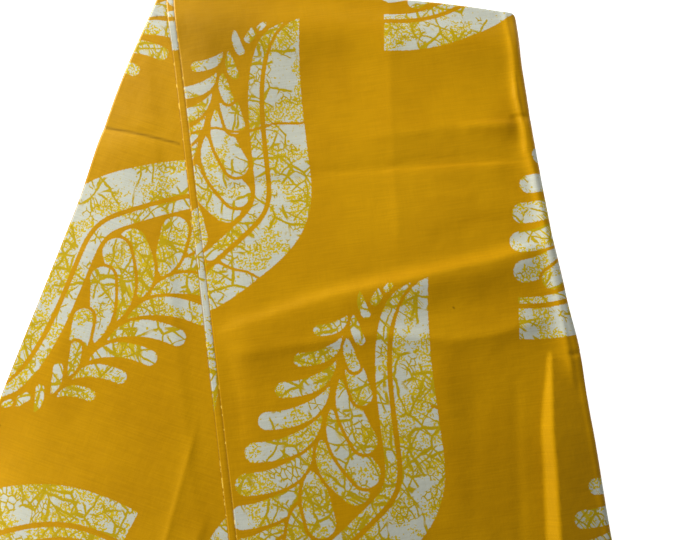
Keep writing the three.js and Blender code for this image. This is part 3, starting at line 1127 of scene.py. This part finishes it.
UPPER_FOLDS = (
    Fold(
        "side roll, top", 7.0, 20,
        ((546, 60), (541, 150), (538, 226), (534, 275),
         (537, 325), (534, 365), (538, 405), (536, 470)),
        50, 4.2, Profile.CUSP, 1.0, (0.3, 0.4, 0.7, 1.0, 0.85, 1.0, 0.55, 0.6),
    ),
    Fold(
        "side roll, middle", 6, 18, ((538, 420), (541, 600), (540, 760)),
        60, 9, Profile.CUSP, 2.0,
    ),
    Fold("crest below the notch", 1.5, 11, ((545, 312), (541, 380), (546, 520)), 16, 5),
    Fold(
        "side ridge", 17, 98,
        ((515, 680), (506, 730), (500, 760), (492, 802), (486, 860), (473, 959), (462, 1200)),
        20, 17, Profile.FACET, 3.0, (0.1, 0.42, 0.62, 0.78, 0.86, 0.95, 1.0),
    ),
    Fold(
        "upper cross band", 5.0, 28, ((250, 305), (356, 309), (422, 310), (486, 317), (560, 340)),
        70, 18, Profile.CUSP, 5.0, (0.4, 0.8, 0.9, 1.0, 1.0),
    ),
    Fold(
        "pressed cross crease", -3.8, 13,
        ((10, 357), (216, 360), (345, 362), (474, 371), (545, 384)),
        50, 34, Profile.CUSP, 2.0, (0.3, 0.8, 1.0, 1.0, 0.8),
    ),
    Fold(
        "line under the cross crease", 4.0, 5.2,
        ((150, 351), (217, 361), (264, 366), (328, 371),
         (376, 373), (432, 377), (488, 382), (530, 386)),
        50, 26, strengths=(0.2, 0.4, 0.42, 0.5, 0.8, 1.0, 0.85, 0.6),
    ),
    Fold(
        "line at the band's end", 3.2, 6, ((425, 312), (465, 313), (495, 316), (532, 321)),
        25, 20, strengths=(0.2, 0.6, 1.0, 0.9),
    ),
    Fold(
        "hollow above the slanting fold", -3.0, 22,
        ((330, 496), (380, 488), (432, 481), (490, 481), (545, 484)),
        50, 45, strengths=(0.2, 0.45, 0.9, 1.0, 1.0),
    ),
    Fold(
        "slanting fold", 10.5, 14,
        ((-30, 600), (62, 580), (191, 557), (319, 547), (448, 537), (560, 521)),
        70, 40, strengths=(0.1, 0.3, 0.55, 1.0, 0.95, 0.7),
    ),
    Fold(
        "lower cross band", 5.6, 30,
        ((0, 622), (118, 621), (244, 622), (365, 648), (428, 649), (540, 634)),
        60, 22, Profile.CUSP, 5.0, (0.6, 0.8, 0.9, 1.0, 1.0, 1.0),
    ),
    Fold("hanging fold", 2.6, 34, ((330, 640), (352, 800), (330, 1100))),
    Fold("length crease", 1.1, 20, ((360, 40), (328, 280), (304, 520)), 60, 12, Profile.CUSP),
    Fold("short crease", 1.0, 12, ((360, 418), (401, 423), (450, 432)), 30, 14, Profile.CUSP),
    Fold("notch in the roll", -2.2, 4, ((516, 306), (566, 312)), 12, 8),
    Fold("lower notch in the roll", -1.8, 4, ((536, 694), (566, 698)), 10),
    Fold(
        "trough beside the ridge", -1.8, 20, ((390, 700), (371, 786), (342, 951), (333, 1080)),
        60, 30,
    ),
    Fold("narrow trough", -0.8, 9, ((456, 700), (441, 800), (420, 951), (412, 1080)), 60, 12),
    Fold("slack streak", -1.0, 12, ((20, 590), (20, 790))),
    Fold("slack by the turn", 3.6, 32, ((-40, 118), (120, 132), (240, 150)), 90, 80),
    Fold("fill behind the turn", 2.2, 45, ((270, 165), (540, 190)), 80, 60),
    Fold("pressed line by the end", 0.9, 5, ((545, 880), (546, 936), (546, 1000)), 30, 4),
)

UPPER_BREAKS = (
    ((-8, 259), (43, 255), (70, 266), (98, 269), (140, 262), (182, 268), (200, 262)),
    ((0, 470), (26, 477), (43, 489), (66, 497), (87, 513), (104, 511)),
    ((318, 742), (352, 757), (371, 785), (402, 792)),
)

LOWER_FOLDS = (
    Fold(
        "cross crease", 4.2, 36, ((-70, 304), (0, 301), (50, 299), (105, 297)),
        5, 60, strengths=(1.0, 1.0, 0.55, 0.0),
    ),
    Fold(
        "sharp line of the cross crease", -2.6, 8, ((-40, 266), (37, 256), (112, 252)),
        20, 5, Profile.CUSP, 1.0,
    ),
    Fold("slack near the selvedge", 0.9, 30, ((20, 420), (60, 700), (60, 1060))),
    Fold(
        "faint long crease", 1.4, 9, ((272, 540), (277, 603), (285, 701), (292, 801), (300, 940)),
        60, 5, Profile.CUSP, 1.0,
    ),
    Fold("second long crease", 0.8, 8, ((356, 700), (338, 822), (334, 900)), 60, 5, Profile.CUSP),
    Fold("small rise", 1.2, 20, ((150, 388), (200, 390)), 10),
)


@dataclass
class FoldedCloth:
    """The whole cloth: four layers, from the table up."""

    lie: ClothLie = ClothLie()
    upper_relief: Relief = Relief(
        UPPER_FOLDS,
        (Unevenness(0.0005, 0.085, 3), Unevenness(0.00022, 0.034, 5)),
        0.0018,
    )
    lower_relief: Relief = Relief(
        LOWER_FOLDS,
        (Unevenness(0.0005, 0.090, 7), Unevenness(0.00022, 0.036, 9)),
        0.0012,
    )
    fade: float = 0.06
    lower_start: float = 0.02
    upper_tips: Triples = (
        (0.204, 0.090, 0.0),
        (0.344, 0.546, 0.0),
        (0.695, -0.300, 0.0),
        (0.831, 0.194, 0.0),
        (0.790, 0.754, 0.0),
    )
    strip_tips: Triples = (
        (0.020, 0.372, 0.0),
        (0.300, -0.360, 0.0),
        (0.520, 0.380, 0.0),
    )
    lower_tips: Triples = (
        (-0.069, 0.730, 180.0),
        (-0.120, 1.278, 180.0),
        (-0.225, 0.255, 180.0),
        (0.333, 1.120, 180.0),
        (0.370, 0.570, 180.0),
    )

    def within(self, from_left: Array, from_end: Array) -> Array:
        """Fade the folds out towards a layer's left edge and its cut end."""
        return ease(from_left / self.fade) * ease(from_end / self.fade)

    def upper_face_top(self, across: Array, along: Array) -> Array:
        """Top of the upper stretch's face layer."""
        lie = self.lie
        from_turn = along - lie.turn_line(lie.upper, across)
        share = self.within(across, lie.upper.length - along) * ease(from_turn / self.fade)
        base = lie.upper_under_top(across, along) + lie.layer
        return base + self.upper_relief.lift(across, along, share)

    def lower_face_top(self, across: Array, along: Array) -> Array:
        """Top of the lower stretch's face layer, whose folds stop short of the upper stretch."""
        lie = self.lie
        upper_across, _ = lie.upper.read(lie.lower.place(across, along))
        clear = ease((-upper_across - lie.overlap_clear) / lie.overlap_clear)
        share = self.within(across + self.lower_start, lie.lower.length - along) * clear
        lift = self.lower_relief.lift(across, along, share)
        return lie.layer + lie.wall + np.maximum(lift, 0.0) * clear

    def layers(self) -> list[ClothLayer]:
        """Describe the four layers, from the table up."""
        lie = self.lie
        lower_left = lie.lower_selvedge.across
        lower = partial(
            ClothLayer,
            lie=lie,
            stretch=lie.lower,
            right=straight(lie.lower_width),
            prints=LeafPrint(self.lower_tips),
        )
        upper = partial(ClothLayer, lie=lie, stretch=lie.upper, turned=True)
        return [
            lower(
                layer=Layer.LOWER_UNDER,
                left=lambda along: lower_left(along) + lie.lower_under_shy,
                top=lambda across, along: np.full_like(across, lie.wall),
                spacing=0.012,
            ),
            lower(
                layer=Layer.LOWER_FACE,
                left=lower_left,
                top=self.lower_face_top,
                spacing=0.0030,
                pattern_shift=7.3,
                worn=(SoftMark(60, 800, 170, 0.8), SoftMark(140, 500, 110, 0.5)),
                stains=(
                    SoftMark(-5, 757, 2.0, 0.7),
                    SoftMark(-8, 56, 2.5, 0.6),
                    SoftMark(0, 54, 2.0, 0.5),
                    # painted shade: the dark line along the cross crease
                    SoftMark(-24, 264, 1.9, 0.55, (40, 256)),
                    SoftMark(40, 256, 1.9, 0.55, (104, 252)),
                ),
            ),
            upper(
                layer=Layer.UPPER_UNDER,
                left=straight(-lie.under_proud),
                right=lambda along: lie.roll_top_line(along) + lie.under_edge.across(along),
                top=lie.upper_under_top,
                prints=LeafPrint(self.strip_tips),
                pattern_shift=5.1,
                # painted shadow: the thin dark line that the face's edge casts along the strip
                stains=(SoftMark(-0.6, 20, 2.2, 0.42, (-0.6, 1025)),),
                spacing=0.014,
                edge_spacing=0.0030,
                inset=lie.layer,
            ),
            upper(
                layer=Layer.UPPER_FACE,
                left=straight(0.0),
                right=lie.roll_top_line,
                top=self.upper_face_top,
                prints=LeafPrint(self.upper_tips, breaks=UPPER_BREAKS),
                spacing=0.0029,
                rolled=True,
                stains=(
                    SoftMark(377, 599, 1.6, 0.8),
                    # painted shade: the dark patches behind the turn and over the lower part of the
                    # stretch
                    SoftMark(60, 100, 105, 0.27),
                    SoftMark(120, 215, 85, 0.15),
                    SoftMark(190, 900, 230, 0.07),
                ),
                worn=(SoftMark(290, 700, 170, 0.3), SoftMark(200, 860, 150, 0.6)),
            ),
        ]

    def build(self, finish: WaxPrintFinish) -> list[bpy.types.Object]:
        """Build and dress the layers.

        Args:
            finish: what they are dressed in.

        Returns:
            Their objects, from the table up.
        """
        material = finish.build()
        pieces: list[bpy.types.Object] = []
        for layer in self.layers():
            piece = layer.build()
            piece.data.materials.append(material)
            pieces.append(piece)
        return pieces


@dataclass(frozen=True)
class PlainTable:
    """The plain pale surface that the cloth lies on."""

    size: float = 12.0
    height: float = -0.0002
    colour: Colour = (0.90, 0.90, 0.90, 1.0)
    glow: float = 0.85
    roughness: float = 0.8

    def build(self) -> bpy.types.Object:
        """Build the surface."""
        half = self.size / 2
        corners = [(-half, -half), (half, -half), (half, half), (-half, half)]
        mesh = bpy.data.meshes.new("plain_table")
        mesh.from_pydata([(x, y, self.height) for x, y in corners], [], [(0, 1, 2, 3)])
        table = add_object("plain_table", mesh)
        surface = {
            "Base Color": self.colour,
            "Roughness": self.roughness,
            "Emission Color": self.colour,
            "Emission Strength": self.glow,
        }
        mesh.materials.append(Graph("plain_table").surfaced(surface))
        return table


@dataclass(frozen=True)
class SoftLamp:
    """A square soft lamp: its place, size, power and what it points at."""

    name: str
    place: Triple
    size: float
    power: float
    target: Triple = (0.0, 0.0, 0.0)

    def build(self) -> bpy.types.Object:
        """Build the lamp."""
        light = bpy.data.lights.new(self.name, "AREA")
        light.shape = "SQUARE"
        light.size = self.size
        light.energy = self.power
        lamp = add_object(self.name, light)
        lamp.location = self.place
        facing = Vector(self.target) - Vector(self.place)
        lamp.rotation_euler = facing.to_track_quat("-Z", "Y").to_euler()
        return lamp


@dataclass(frozen=True)
class Studio:
    """The lamps, the sky's even light and the camera."""

    lamps: tuple[SoftLamp, ...] = (
        SoftLamp("window_light", (-1.8, 1.7, 0.74), 0.8, 116.0),
        SoftLamp("side_light", (-0.85, -0.55, 0.36), 0.4, 4.4, (-0.38, -0.40, 0.0)),
        SoftLamp("low_left_light", (-0.85, 0.42, 0.34), 0.3, 1.5, (-0.30, 0.22, 0.0)),
        SoftLamp("overhead_light", (0.30, 0.36, 0.75), 0.4, 2.1, (0.25, 0.18, 0.0)),
    )
    sky: Colour = (0.92, 0.96, 1.0, 1.0)
    sky_strength: float = 0.27
    camera_place: Triple = (0.09927, -0.07473, 1.035)
    camera_tilt: float = math.radians(8.2)
    lens: float = 35.0
    film: float = 36.0

    def build(self) -> None:
        """Build the lamps, the sky and the camera."""
        for lamp in self.lamps:
            lamp.build()
        world = bpy.data.worlds.new("even_sky")
        world.use_nodes = True
        background = world.node_tree.nodes["Background"]
        background.inputs["Color"].default_value = self.sky
        background.inputs["Strength"].default_value = self.sky_strength
        bpy.context.scene.world = world
        bpy.context.scene.view_settings.view_transform = "Standard"
        camera = bpy.data.cameras.new("camera")
        camera.lens = self.lens
        camera.sensor_width = self.film
        holder = add_object("camera", camera)
        holder.location = self.camera_place
        holder.rotation_euler = (self.camera_tilt, 0.0, 0.0)
        bpy.context.scene.camera = holder


def main() -> None:
    """Build the cloth, its table and its studio in the CAD model's frame."""
    logging.basicConfig(level=logging.INFO, format="%(message)s")
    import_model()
    Studio().build()
    PlainTable().build()
    pieces = FoldedCloth().build(WaxPrintFinish())
    LOG.info("%d cloth layers built", len(pieces))


if __name__ == "__main__":
    main()
